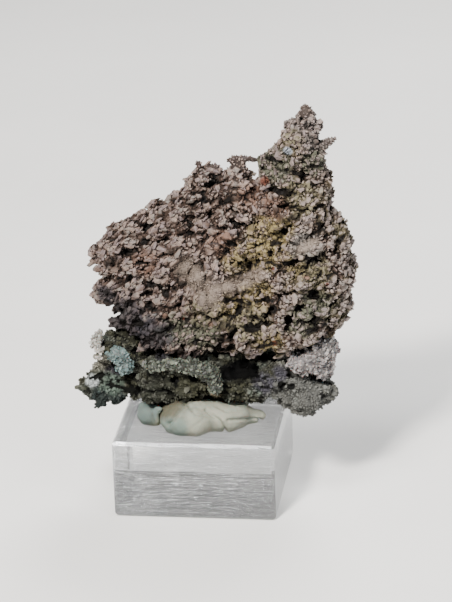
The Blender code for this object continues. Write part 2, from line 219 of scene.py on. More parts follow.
def addBump(tree, shader, coords, sizes, **settings):
    # sizes are the width and depth in mm and the strength
    width, depth, strength = sizes
    bumpOf(tree, shader, noiseOf(tree, coords, width, **settings), depth, strength)


def attribute(tree, name):
    return addNode(tree, "ShaderNodeAttribute", attribute_name=name).outputs["Fac"]


# small tools for meshes

def addObject(name, data):
    obj = bpy.data.objects.new(name, data)
    bpy.context.scene.collection.objects.link(obj)
    return obj


def meshFrom(bm, name):
    mesh = bpy.data.meshes.new(name)
    bm.to_mesh(mesh)
    bm.free()
    return mesh


def settle(obj):
    # keeps what the modifiers make as plain mesh, and drops them
    graph = bpy.context.evaluated_depsgraph_get()
    graph.update()
    mesh = bpy.data.meshes.new_from_object(obj.evaluated_get(graph))
    obj.modifiers.clear()
    old = obj.data
    obj.data = mesh
    bpy.data.meshes.remove(old)
    return obj


def copyOfNode(node, name):
    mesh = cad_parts[node].data.copy()
    mesh.materials.clear()
    bm = bmesh.new()
    bm.from_mesh(mesh)
    bmesh.ops.remove_doubles(bm, verts=bm.verts, dist=1e-6)
    bmesh.ops.recalc_face_normals(bm, faces=bm.faces)
    bm.to_mesh(mesh)
    bm.free()
    return addObject(name, mesh)


def remesh(obj, voxel):
    modifier = obj.modifiers.new("Skin", "REMESH")
    modifier.mode = "VOXEL"
    modifier.voxel_size = voxel * mm
    modifier.use_smooth_shade = True
    return settle(obj)


def subdivide(obj, levels=1):
    modifier = obj.modifiers.new("Finer", "SUBSURF")
    modifier.levels = levels
    modifier.render_levels = levels
    return settle(obj)


def relax(obj, factor, times):
    modifier = obj.modifiers.new("Relaxed", "SMOOTH")
    modifier.factor = factor
    modifier.iterations = times
    return settle(obj)


def pointsOf(obj):
    flat = np.empty(len(obj.data.vertices) * 3, np.float32)
    obj.data.vertices.foreach_get("co", flat)
    return flat.reshape(-1, 3).astype(float)


def normalsOf(obj):
    flat = np.empty(len(obj.data.vertices) * 3, np.float32)
    obj.data.vertex_normals.foreach_get("vector", flat)
    return flat.reshape(-1, 3).astype(float)


def place(obj, points):
    obj.data.vertices.foreach_set("co", np.asarray(points, np.float32).ravel())
    obj.data.update()


def push(obj, amount):
    # moves the surface out (+) or in (-), in mm
    place(obj, pointsOf(obj) + normalsOf(obj) * np.asarray(amount).reshape(-1, 1) * mm)
    return obj


def numbersOf(obj, name):
    values = np.empty(len(obj.data.vertices), np.float32)
    obj.data.attributes[name].data.foreach_get("value", values)
    return values


def setNumbers(obj, name, values):
    # keeps a number at each point, such as share: how thickly crystals grow there, from 0 to 1
    layer = obj.data.attributes.get(name) or obj.data.attributes.new(name, "FLOAT", "POINT")
    layer.data.foreach_set("value", np.asarray(values, np.float32))


def joinAll(objects, name):
    objects[0].name = name
    if len(objects) == 1:
        return objects[0]
    bpy.ops.object.select_all(action="DESELECT")
    for obj in objects:
        obj.select_set(True)
    bpy.context.view_layer.objects.active = objects[0]
    bpy.ops.object.join()
    return objects[0]


def remove(obj):
    mesh = obj.data
    bpy.data.objects.remove(obj)
    bpy.data.meshes.remove(mesh)


def crop(obj, low, high):
    # cuts the solid down to a box given in mm, and closes the cuts
    bm = bmesh.new()
    bm.from_mesh(obj.data)
    for axis in range(3):
        for limit, way in ((low[axis], -1), (high[axis], 1)):
            if abs(limit) >= far:
                continue
            facing = Vector([way if i == axis else 0 for i in range(3)])
            parts = bm.verts[:] + bm.edges[:] + bm.faces[:]
            cut = bmesh.ops.bisect_plane(bm, geom=parts, plane_co=facing * way * limit * mm,
                                         plane_no=facing, clear_outer=True)
            rims = [e for e in cut["geom_cut"] if isinstance(e, bmesh.types.BMEdge)]
            bmesh.ops.holes_fill(bm, edges=rims)
            for rim in rims:
                rim.smooth = False
    bm.to_mesh(obj.data)
    bm.free()
    return obj


def stayInBox(obj):
    margin = 0.02 * mm
    low, high = np.array(cadBox[0]) + margin, np.array(cadBox[1]) - margin
    place(obj, np.clip(pointsOf(obj), low, high))


def newTree(name, inputs):
    # inputs maps a label to its default, or to the word Object or Material
    tree = bpy.data.node_groups.new(name, "GeometryNodeTree")
    tree.interface.new_socket("Geometry", in_out="INPUT", socket_type="NodeSocketGeometry")
    tree.interface.new_socket("Geometry", in_out="OUTPUT", socket_type="NodeSocketGeometry")
    kinds = {bool: "Bool", int: "Int", float: "Float", tuple: "Vector"}
    for label, default in inputs.items():
        kind = kinds.get(type(default), default)
        socket = tree.interface.new_socket(label, in_out="INPUT", socket_type="NodeSocket" + kind)
        if default is not kind:
            socket.default_value = default
    given = tree.nodes.new("NodeGroupInput")
    return tree, {s.name: s for s in given.outputs if s.name}


def runTree(obj, tree, values):
    # runs a geometry tree on the object and keeps the result as plain mesh
    modifier = obj.modifiers.new(tree.name, "NODES")
    modifier.node_group = tree
    for item in tree.interface.items_tree:
        if item.in_out == "INPUT" and item.name in values:
            modifier[item.identifier] = values[item.name]
    obj.update_tag()
    return settle(obj)


def layOutFaces(obj):
    # a map on which every face has a small cell of its own, as the grains are too many to unwrap
    reach, firstTurn = 0.42, 0.125  # of a face's corners from the middle of its cell, 1 wide
    mesh = obj.data
    count = len(mesh.polygons)
    first, corners = np.empty(count, np.int32), np.empty(count, np.int32)
    mesh.polygons.foreach_get("loop_start", first)
    mesh.polygons.foreach_get("loop_total", corners)
    face = np.repeat(np.arange(count), corners)
    turn = (np.arange(len(face)) - first[face]) / corners[face] + firstTurn
    side = math.ceil(math.sqrt(count))
    across = face % side + 0.5 + reach * np.cos(turn * math.tau)
    up = face // side + 0.5 + reach * np.sin(turn * math.tau)
    places = np.column_stack([across, up]).astype(np.float32) / side
    mesh.uv_layers.new(name="OFBake").data.foreach_set("uv", places.ravel())


def finishPiece(obj, slot, *nodes):
    stayInBox(obj)
    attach(obj, "root")
    if nodes:
        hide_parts(*nodes)
    obj.data.calc_loop_triangles()
    print(obj.name, len(obj.data.loop_triangles), "triangles")


# crust: crystals of any size set closely over a surface

def crustTree():
    tree, given = newTree("crystal crust", {
        "Spacing": 1.0 * mm, "Size": 0.5 * mm, "Size spread": 0.3, "Corners": 12,
        "Stretch": 1.3, "Thickness": 0.8, "Raise": 0.0, "Focus": (0.0, 0.0, 0.0),
        "Follow focus": 0.7, "Tilt": 0.4, "Seed": 1, "Keep base": True,
        "Material": "Material",
    })

    def chance(low, high, seed, kind="FLOAT"):
        node = addNode(tree, "FunctionNodeRandomValue", data_type=kind)
        plug(tree, socketNamed(node.inputs, "Min"), low)
        plug(tree, socketNamed(node.inputs, "Max"), high)
        plug(tree, socketNamed(node.inputs, "Seed"), seed)
        return socketNamed(node.outputs, "Value")

    perSquareMetre = 8e6
    points = addNode(tree, "GeometryNodeDistributePointsOnFaces", {
        "Mesh": given["Geometry"], "Distance Min": given["Spacing"], "Density Max": perSquareMetre,
        "Density Factor": named(tree, "share"), "Seed": given["Seed"],
    }, distribute_method="POISSON")
    normal = points.outputs["Normal"]
    spot = tree.nodes.new("GeometryNodeInputPosition").outputs[0]

    # four crystal shapes with flat faces, picked by chance
    shapes = tree.nodes.new("GeometryNodeGeometryToInstance")
    for shape in range(4):
        ray = chance((-1.0, -1.0, -1.0), (1.0, 1.0, 1.0), shape, "FLOAT_VECTOR")
        corner = vectorCalc(tree, "SCALE", vectorCalc(tree, "NORMALIZE", ray),
                            scale=chance(0.78, 1.0, 10 + shape))
        corners = addNode(tree, "GeometryNodePoints", {"Count": given["Corners"],
                                                       "Position": corner})
        hull = addNode(tree, "GeometryNodeConvexHull", {0: corners.outputs[0]})
        tree.links.new(hull.outputs[0], shapes.inputs[0])

    # each one leans from the surface towards the focus, and lies flat on the surface
    onward = vectorCalc(tree, "NORMALIZE", vectorCalc(tree, "SUBTRACT", given["Focus"], spot))
    along = addNode(tree, "ShaderNodeMix", {"Factor": given["Follow focus"], "A": normal,
                                            "B": onward}, data_type="VECTOR")
    turn = addNode(tree, "FunctionNodeAlignRotationToVector",
                   {"Vector": socketNamed(along.outputs, "Result")}, axis="Z")
    turn = addNode(tree, "FunctionNodeAlignRotationToVector",
                   {"Rotation": turn.outputs[0], "Vector": normal}, axis="Y", pivot_axis="Z")
    tilt = given["Tilt"]
    back = calc(tree, "MULTIPLY", tilt, -1.0)
    wobble = vectorOf(tree, *(chance(back, tilt, seed) for seed in (21, 22, 23)))
    spin = addNode(tree, "FunctionNodeEulerToRotation", {0: wobble})
    turn = addNode(tree, "FunctionNodeRotateRotation",
                   {"Rotation": turn.outputs[0], "Rotate By": spin.outputs[0]},
                   rotation_space="LOCAL")
    spread = calc(tree, "MULTIPLY", given["Size spread"], chance(-1.0, 1.0, 24))
    size = calc(tree, "MULTIPLY", given["Size"], calc(tree, "ADD", spread, 1.0))
    length = calc(tree, "MULTIPLY", calc(tree, "MULTIPLY", size, given["Stretch"]),
                  chance(0.75, 1.25, 26))
    scale = vectorOf(tree, calc(tree, "MULTIPLY", size, chance(0.8, 1.15, 25)),
                     calc(tree, "MULTIPLY", size, given["Thickness"]), length)
    rise = calc(tree, "MULTIPLY", given["Raise"], chance(0.2, 1.4, 27))
    raised = addNode(tree, "GeometryNodeSetPosition", {
        "Geometry": points.outputs[0], "Offset": vectorCalc(tree, "SCALE", normal, scale=rise)})
    crystals = addNode(tree, "GeometryNodeInstanceOnPoints", {
        "Points": raised.outputs[0], "Instance": shapes.outputs[0], "Pick Instance": True,
        "Instance Index": chance(0, 3, 28, "INT"), "Rotation": turn.outputs[0],
        "Scale": scale})
    toned = stored(tree, crystals.outputs[0], "tone", chance(0.0, 1.0, 29), domain="INSTANCE")
    homed = stored(tree, toned, "home", spot, "FLOAT_VECTOR", "INSTANCE")
    real = addNode(tree, "GeometryNodeRealizeInstances", {0: homed})
    base = addNode(tree, "GeometryNodeSwitch", {"Switch": given["Keep base"],
                                                "True": given["Geometry"]},
                   input_type="GEOMETRY")
    both = tree.nodes.new("GeometryNodeJoinGeometry")
    tree.links.new(real.outputs[0], both.inputs[0])
    tree.links.new(base.outputs[0], both.inputs[0])
    finished = addNode(tree, "GeometryNodeSetMaterial", {"Geometry": both.outputs[0],
                                                         "Material": given["Material"]})
    addNode(tree, "NodeGroupOutput", {0: finished.outputs[0]})
    return tree


# body: drops loose crumbs, and stores how far each point stands above the surface around it

def bodyTree():
    tree, given = newTree("growth body", {"Passes": 60, "Smallest piece": 600})
    island = tree.nodes.new("GeometryNodeInputMeshIsland")
    count = addNode(tree, "GeometryNodeAccumulateField", {
        "Value": 1.0, "Group ID": island.outputs[0]}, data_type="FLOAT", domain="POINT")
    kept = dropWhere(tree, given["Geometry"], count.outputs["Total"], "LESS_THAN",
                     given["Smallest piece"])
    spot = tree.nodes.new("GeometryNodeInputPosition").outputs[0]
    blurred = addNode(tree, "GeometryNodeBlurAttribute", data_type="FLOAT_VECTOR")
    plug(tree, socketNamed(blurred.inputs, "Value"), spot)
    plug(tree, socketNamed(blurred.inputs, "Iterations"), given["Passes"])
    above = vectorCalc(tree, "SUBTRACT", spot, socketNamed(blurred.outputs, "Value"))
    outward = tree.nodes.new("GeometryNodeInputNormal").outputs[0]
    relief = vectorCalc(tree, "DOT_PRODUCT", above, outward)
    addNode(tree, "NodeGroupOutput", {0: stored(tree, kept, "relief", relief)})
    return tree


# finish: keeps one section of the grains, roughens it, and stores its height above the body

def finishTree():
    tree, given = newTree("crust finish", {
        "Body": "Object", "Low": (-1.0, -1.0, -1.0), "High": (1.0, 1.0, 1.0), "Smooth": True,
        "Grit size": 0.4 * mm, "Grit height": 0.05 * mm, "Material": "Material",
    })
    home = named(tree, "home", "FLOAT_VECTOR")
    inside = vectorCalc(tree, "MINIMUM", vectorCalc(tree, "MAXIMUM", home, given["Low"]),
                        given["High"])
    outside = vectorCalc(tree, "DISTANCE", home, inside)
    kept = dropWhere(tree, given["Geometry"], outside, "GREATER_THAN", 1e-9)
    spot = tree.nodes.new("GeometryNodeInputPosition").outputs[0]
    outward = tree.nodes.new("GeometryNodeInputNormal").outputs[0]
    grit = addNode(tree, "ShaderNodeTexNoise", {
        "Vector": spot, "Scale": calc(tree, "DIVIDE", 1.0, given["Grit size"]),
        "Detail": 2.0}).outputs[0]
    # the noise seldom strays more than a quarter from its middle, 0.5
    lift = calc(tree, "MULTIPLY", calc(tree, "SUBTRACT", grit, 0.5),
                calc(tree, "MULTIPLY", given["Grit height"], 4.0))
    moved = addNode(tree, "GeometryNodeSetPosition", {
        "Geometry": kept, "Offset": vectorCalc(tree, "SCALE", outward, scale=lift)})

    body = addNode(tree, "GeometryNodeObjectInfo", {"Object": given["Body"]}).outputs["Geometry"]
    nearest = addNode(tree, "GeometryNodeProximity", {0: body}, target_element="FACES")
    ground = nearest.outputs["Position"]

    def onBody(value, kind):
        node = addNode(tree, "GeometryNodeSampleNearestSurface", {
            "Mesh": body, "Sample Position": ground, "Value": value}, data_type=kind)
        return socketNamed(node.outputs, "Value")

    above = vectorCalc(tree, "DOT_PRODUCT", vectorCalc(tree, "SUBTRACT", spot, ground),
                       onBody(outward, "FLOAT_VECTOR"))
    geometry = stored(tree, moved.outputs[0], "above", above)
    geometry = stored(tree, geometry, "relief", onBody(named(tree, "relief"), "FLOAT"))
    shaded = addNode(tree, "GeometryNodeSetShadeSmooth",
                     {0: geometry, "Shade Smooth": given["Smooth"]})
    finished = addNode(tree, "GeometryNodeSetMaterial", {"Geometry": shaded.outputs[0],
                                                         "Material": given["Material"]})
    addNode(tree, "NodeGroupOutput", {0: finished.outputs[0]})
    return tree


crust, growth, finish = crustTree(), bodyTree(), finishTree()
print("node trees built")


# what a layer of crystals has where it says nothing else, with lengths in mm
plainLayer = {"spread": 0.5, "corners": 14, "stretch": 1.2, "thickness": 0.75, "raise": 0.0,
              "tilt": 0.8, "follow": 0.75, "focus": (0, 0, far)}


def cover(body, layer, name, keepBody):
    # grows one layer of crystals on a copy of the body
    layer = {**plainLayer, **layer}
    return runTree(addObject(name, body.data.copy()), crust, {
        "Spacing": layer["spacing"] * mm, "Size": layer["size"] * mm,
        "Size spread": layer["spread"], "Corners": layer["corners"], "Stretch": layer["stretch"],
        "Thickness": layer["thickness"], "Raise": layer["raise"] * mm, "Tilt": layer["tilt"],
        "Focus": [c * mm for c in layer["focus"]], "Follow focus": layer["follow"],
        "Seed": layer["seed"], "Keep base": keepBody})


def sink(obj, depths):
    # moves the surface in by depths (mm), and by less where the solid is thin
    mostOfThickness, start = 0.22, 0.05 * mm
    tree = BVHTree.FromObject(obj, bpy.context.evaluated_depsgraph_get())
    room = []
    for point, normal in zip(pointsOf(obj), normalsOf(obj)):
        inward = Vector(-normal)
        hit = tree.ray_cast(Vector(point) + inward * start, inward)
        room.append(mostOfThickness * (hit[3] / mm if hit[0] else far))
    push(obj, -np.minimum(depths, room))


def holesAt(obj, holes, focus):
    # 1 in the open holes and clefts of the growth, 0 on its clusters, which run to the focus
    finerScale, broadScale = 2.3, 0.6
    found = []
    for point in pointsOf(obj) / mm:
        onward = Vector(focus) - Vector(point)
        reach = onward.length
        turn = math.atan2(onward.z, onward.x)
        spot = Vector((reach / holes["long"], turn * reach / holes["wide"],
                       point[1] / holes["wide"] / holes["depthStretch"]))
        value = noise.noise(spot) + holes["finer"] * noise.noise(spot * finerScale)
        hole = (value - holes["from"]) / holes["fade"]
        near = noise.voronoi(spot * holes["cells"])[0]
        cleft = 1.0 - (near[1] - near[0]) / holes["cleft"]
        # the clefts close here and there
        openness = min(1.0, 1.2 + 2.0 * noise.noise(spot * broadScale))
        found.append(max(hole, cleft * openness))
    return np.clip(found, 0, 1)


def planOf(points):
    # where points lie on the plan of the front, in mm
    across = points[:, 0] + slant[0] * points[:, 1]
    return np.column_stack([across, points[:, 2] + slant[1] * points[:, 1]]) / mm


def pitsAt(obj, pits):
    # 1 in the middle of each pit (across, up, radius in mm) of the front, 0 outside it
    points = pointsOf(obj)
    plan, depth = planOf(points), np.zeros(len(points))
    for across, up, radius in pits:
        away = np.hypot(plan[:, 0] - across, plan[:, 1] - up) / radius
        floorToRim = 1.6 - 1.5 * away  # level out to 0.4 of the radius, then up to the rim
        depth = np.maximum(depth, np.clip(floorToRim, 0, 1) * (points[:, 1] < 0))
    return depth


def alongPath(points, path):
    # how far in mm each point of the front lies from a path on its plan
    plan, path, nearest = planOf(points), np.array(path), np.full(len(points), far)
    for start, end in zip(path, path[1:]):
        run = end - start
        share = np.clip((plan - start) @ run / (run @ run), 0, 1)
        away = np.linalg.norm(plan - start - share[:, None] * run, axis=1)
        nearest = np.minimum(nearest, away)
    return np.where(points[:, 1] < 0, nearest, far)


def finePart(obj, look):
    # 1 where only the smallest grains grow, such as on a thin twig
    points, part = pointsOf(obj) / mm, np.zeros(len(obj.data.vertices))
    for *centre, radius in look.get("fine", []):
        part = np.maximum(part, np.linalg.norm(points - centre, axis=1) < radius)
    return part


def gapDepths(obj, look):
    # how deep (mm) the holes, clefts and pits of the growth are; none on the fine parts
    holes = look.get("holes")
    if holes is None:
        return np.zeros(len(obj.data.vertices))
    found = holesAt(obj, holes, look["coarse"]["focus"]) * (1.0 - pitsAt(obj, look["filled"]))
    depths = np.maximum(found * holes["deep"], pitsAt(obj, look["pits"]) * holes["pit"])
    return depths * (1.0 - finePart(obj, look))


def growBody(node, look, solids=()):
    # the node's solid, drawn in a little, with coarse crystals grown on it
    body = copyOfNode(node, node + "_body")
    remesh(body, look["voxel"])
    sink(body, look["inset"])
    body = joinAll([body, *solids], body.name)
    remesh(body, look["solidVoxel"])
    depths = gapDepths(body, look)
    sink(body, depths)
    setNumbers(body, "share", np.clip(1.0 - depths, 0, 1) * (1.0 - finePart(body, look)))
    grown = cover(body, look["coarse"], body.name, True)
    remove(body)
    return runTree(remesh(grown, look["grownVoxel"]), growth, {"Passes": look["passes"]})


def sinkHoles(body, look):
    # makes the relief tell of the holes and pits as well, which the material paints black as shade
    setNumbers(body, "relief", numbersOf(body, "relief") - gapDepths(body, look) * mm)


def dressBody(body, look, share, material, slot, node, name):
    # the loose crystals, all but the finest as thick as share says, and the piece's sections
    low, high = look["bare"]
    rise = np.clip((numbersOf(body, "relief") / mm - low) / (high - low), 0, 1)
    edge, end = sideEdges
    leftward = np.clip((edge - pointsOf(body)[:, 0] / mm) / (edge - end), 0, 1)
    grains = []
    for layer in look["grains"]:
        side = {"left": leftward, "right": 1.0 - leftward}.get(layer.get("side"), 1.0)
        allowed = share if layer["size"] > finestSize else 1.0
        setNumbers(body, "share", allowed * rise * side)
        grains.append(cover(body, layer, "grains", False))
    grains = joinAll(grains, "grains")
    values = {"Body": body, "Material": material, "Grit size": look["grit"][0] * mm,
              "Grit height": look["grit"][1] * mm}
    for number, (part, low, high, keep) in enumerate(look["sections"]):
        core = crop(addObject("core", body.data.copy()), low, high)
        if keep < 1:
            modifier = core.modifiers.new("Coarser", "DECIMATE")
            modifier.ratio = keep
            settle(core)
        runTree(core, finish, {**values, "Smooth": True})
        section = {"Smooth": False, "Low": [c * mm for c in low], "High": [c * mm for c in high]}
        loose = runTree(addObject("loose", grains.data.copy()), finish, {**values, **section})
        piece = joinAll([core, loose], f"{name}_{part}" if part else name)
        piece.data.validate()
        layOutFaces(piece)
        finishPiece(piece, slot, *([node] if number == 0 else []))
    remove(grains)
    remove(body)


# the silver

peak = (27, -3, 72)  # every crystal of the silver leans towards it: x, y, z in mm
silverLook = {
    # the near-black tone is painted shade for hollows and grain feet; the recess tone is the
    # tarnish's own colour, darkened as painted shade; the palest tone is a painted glint
    "tan": (135, 117, 107), "mauve": (117, 105, 104), "grey": (114, 108, 103),
    "brown": (93, 77, 69), "recess": (71, 56, 48), "paintedShade": (11, 8, 6), "rust": (106, 82, 70),
    "plate": (122, 110, 100), "dusk": (100, 93, 89), "gold": (122, 109, 75),
    "olive": (102, 96, 74), "orange": (80, 31, 12), "paleGrey": (126, 121, 115),
    "paleBlue": (130, 137, 146), "darkBlue": (16, 16, 20), "slate": (42, 41, 47),
    "green": (78, 80, 66), "paintedGlint": (178, 176, 172),
    # patches: tone, then across, up and radius of each spot in mm
    "patches": [
        ("gold", (13.0, 50.6, 3.2), (15.4, 51.6, 2.2), (7.3, 45.8, 2.6), (10.4, 38.9, 2.8),
         (18.6, 45.1, 2.6), (12.6, 29.8, 2.4), (12.0, 46.4, 2.8)),
        ("olive", (2.0, 35.0, 3.4), (19.5, 58.0, 3.2), (9.0, 33.0, 3.4), (21.5, 44.0, 2.6)),
        ("rust", (10.2, 57.6, 2.6), (4.4, 48.8, 2.4), (14.8, 55.6, 2.0), (-9.5, 44.6, 2.4)),
        ("green", (14.4, 63.9, 3.2), (-4.6, 31.6, 3.0), (0.8, 30.4, 2.6), (18.6, 33.6, 2.8),
         (21.6, 37.2, 2.4)),
        ("gold", (5.6, 36.6, 2.0)),
        ("darkBlue", (-13.8, 33.4, 4.2), (-8.6, 30.6, 3.4), (-17.4, 38.4, 1.6)),
        ("dusk", (20.4, 72.4, 4.2), (23.4, 67.6, 3.0)),
        ("olive", (17.8, 68.6, 1.8)),
        ("green", (21.6, 64.4, 2.4)),
        ("paleGrey", (19.8, 48.4, 2.6)),
        ("paleBlue", (17.0, 66.7, 0.7)),
        ("orange", (12.6, 60.9, 0.8), (13.7, 44.0, 0.3), (23.5, 41.1, 0.3), (-3.0, 33.8, 0.3),
         (13.6, 29.4, 0.5)),
        ("rust", (19.7, 42.4, 0.5), (-6.4, 34.3, 0.5), (1.9, 32.9, 0.5)),
    ],
    "voxel": 0.5, "inset": 1.0, "solidVoxel": 0.35, "grownVoxel": 0.36, "passes": 40,
    "bare": (-1.4, -1.0), "grit": (0.5, 0.05),
    # open holes and clefts between the clusters: lengths in mm, and how many
    "holes": {"long": 3.4, "wide": 1.9, "depthStretch": 1.6, "finer": 0.35, "from": 0.28,
              "fade": 0.12, "cells": 0.9, "cleft": 0.13, "deep": 1.3, "pit": 1.8},
    # where only small grains grow: x, y, z and radius in mm
    "fine": [(9.4, 0.0, 66.4, 3.2), (1.0, -0.3, 65.2, 1.8), (4.1, 0.4, 64.6, 1.7),
             (6.6, -1.0, 65.0, 1.7), (-19.4, -1.4, 37.4, 1.2), (25.8, -0.4, 69.4, 2.2),
             (20.5, 0.0, 75.2, 2.0)],
    # pits, painted black as shade at the bottom: across, up and radius in mm
    "pits": [
        (-9.2, 49.0, 1.1), (-3.0, 42.9, 1.0), (5.5, 47.2, 0.9), (9.9, 44.5, 1.1),
        (7.4, 35.7, 1.2), (13.2, 36.0, 1.3), (18.4, 36.5, 1.3), (21.2, 39.3, 1.2),
        (16.2, 33.7, 1.2), (5.9, 31.6, 1.1), (-12.6, 41.0, 0.9), (-6.0, 38.6, 0.9),
        (2.4, 54.4, 0.8), (16.0, 56.0, 0.8), (22.6, 52.6, 0.9), (-1.2, 50.6, 0.9),
        (-14.2, 32.8, 1.1), (-9.3, 36.6, 1.0), (-5.5, 32.2, 1.0), (-15.4, 38.0, 0.9),
        (-11.0, 33.4, 0.8), (13.2, 47.0, 0.8), (19.6, 62.4, 0.8), (-13.0, 46.6, 0.8),
    ],
    # where the growth is closed: across, up and radius in mm
    "filled": [(2.6, 44.9, 3.0), (23.2, 71.0, 1.2)],
    # smooth plates: path on the front plan, half width and lift in mm
    "plates": [
        ([(-1.8, 43.6), (0.4, 40.4), (2.0, 37.6)], 1.9, 0.3),
        ([(2.0, 39.8), (6.6, 40.4), (11.2, 42.8)], 1.1, 0.35),
        ([(18.2, 47.6), (21.4, 49.2)], 0.8, 0.15),
    ],
    # sprigs that stand clear: points along each (x, y, z in mm) and the radius at both ends
    "sprigs": [
        ([(0.6, 0.0, 60.0), (0.8, -0.3, 62.6), (1.0, -0.3, 64.6)], 1.6, 0.45),
        ([(4.0, 0.4, 60.0), (4.1, 0.4, 63.9)], 1.5, 0.4),
        ([(13.6, 0.4, 64.4), (10.4, 0.1, 65.2), (7.8, 0.0, 65.5), (6.4, -0.2, 64.9)], 0.5, 0.6),
        ([(7.2, 0.0, 60.4), (7.7, -0.1, 65.4)], 1.5, 0.5),
        ([(8.0, 0.0, 59.6), (9.1, 0.1, 63.5)], 1.9, 0.6),
        ([(21.4, 0.0, 67.2), (23.6, -0.2, 68.2), (25.5, -0.4, 69.3)], 1.6, 0.55),
        ([(-16.0, -1.0, 38.8), (-18.6, -1.4, 37.6)], 1.4, 0.8),
        ([(-16.6, -0.2, 46.4), (-16.0, -0.2, 48.4), (-12.6, -0.2, 50.8)], 2.3, 2.0),
        ([(20.4, 0.0, 70.0), (20.5, 0.0, 72.6), (20.5, 0.0, 74.4)], 2.5, 1.3),
    ],
    "coarse": {"spacing": 2.4, "size": 1.35, "spread": 0.45, "corners": 12, "stretch": 1.35,
               "thickness": 0.85, "raise": 0.5, "tilt": 0.6, "focus": peak, "seed": 3},
    "grains": [
        {"spacing": 1.15, "size": 0.58, "spread": 0.45, "stretch": 1.6, "thickness": 0.62,
         "raise": 0.12, "tilt": 0.5, "focus": peak, "seed": 4, "side": "left"},
        {"spacing": 1.4, "size": 0.66, "stretch": 1.35, "thickness": 0.68, "raise": 0.08,
         "follow": 0.5, "focus": peak, "seed": 5, "side": "right"},
        {"spacing": 0.55, "size": 0.46, "spread": 0.45, "corners": 11, "stretch": 1.7,
         "thickness": 0.68, "raise": 0.08, "tilt": 0.5, "focus": peak, "seed": 6, "side": "left"},
        {"spacing": 0.54, "size": 0.44, "corners": 11, "stretch": 1.3, "thickness": 0.76,
         "raise": 0.08, "follow": 0.5, "focus": peak, "seed": 8, "side": "right"},
        {"spacing": 0.4, "size": 0.28, "spread": 0.45, "corners": 12, "stretch": 1.15,
         "raise": 0.02, "follow": 0.3, "tilt": 0.5, "focus": peak, "seed": 7},
    ],
    # a grain's top is lightTop above the body and its foot is painted dark as shade up to
    # darkFoot; a hollow is painted black as shade at the first depth and open at the second, all
    # in mm
    "lightTop": 0.5, "darkFoot": 0.16, "hollow": (-0.8, -0.1),
    "paintedGlintShare": 0.2, "plateShare": 0.75, "recessShare": 0.85, "sheen": (0.5, 0.8),
    # where each tone of the tops stands in the noise, and the widths of the blotches in mm
    "tops": [(0.25, "brown"), (0.38, "mauve"), (0.5, "tan"), (0.6, "grey"), (0.72, "tan")],
    "blotches": {"olive": 6.0, "tops": 2.0, "lightness": 0.8, "edges": 1.6, "sheen": 0.5},
    # from the left to the right in mm: where it turns grey, and where the painted shade on the
    # left side gives way to light
    "greySide": (-12, 14), "lightSide": (-18, 4), "lightness": (0.78, 1.04),
    "mottling": (0.82, 1.16),
    # patches that colour the tops as strongly as the recesses, and how much
    "bold": ("orange", "darkBlue", "paleBlue"), "boldShare": 0.8,
    "bump": (0.22, 0.06, 0.7),  # width and depth in mm, and strength
    # sections: name, low and high corner (mm) and the share of the body's faces that it keeps
    "sections": [
        ("left_front", (-far, -far, -far), (-1, 1.5, far), 1),
        ("middle_front", (-1, -far, -far), (13.5, 1.5, far), 1),
        ("right_front", (13.5, -far, -far), (far, 1.5, far), 1),
        ("left_back", (-far, 1.5, -far), (6, far, far), 0.42),
        ("right_back", (6, 1.5, -far), (far, far, far), 0.42),
    ],
}


def makeSprig(path, startRadius, endRadius):
    # a tapering chain of small balls
    ballGap = 0.4  # in mm
    bm = bmesh.new()
    spots = [Vector(p) for p in path]
    total = sum((b - a).length for a, b in zip(spots, spots[1:]))
    gone = 0.0
    for start, end in zip(spots, spots[1:]):
        steps = max(2, round((end - start).length / ballGap))
        for step in range(steps + 1):
            share = (gone + (end - start).length * step / steps) / total
            radius = startRadius + (endRadius - startRadius) * share
            spot = start.lerp(end, step / steps) * mm
            bmesh.ops.create_icosphere(bm, subdivisions=1, radius=radius * mm,
                                       matrix=Matrix.Translation(spot))
        gone += (end - start).length
    return addObject("sprig", meshFrom(bm, "sprig"))


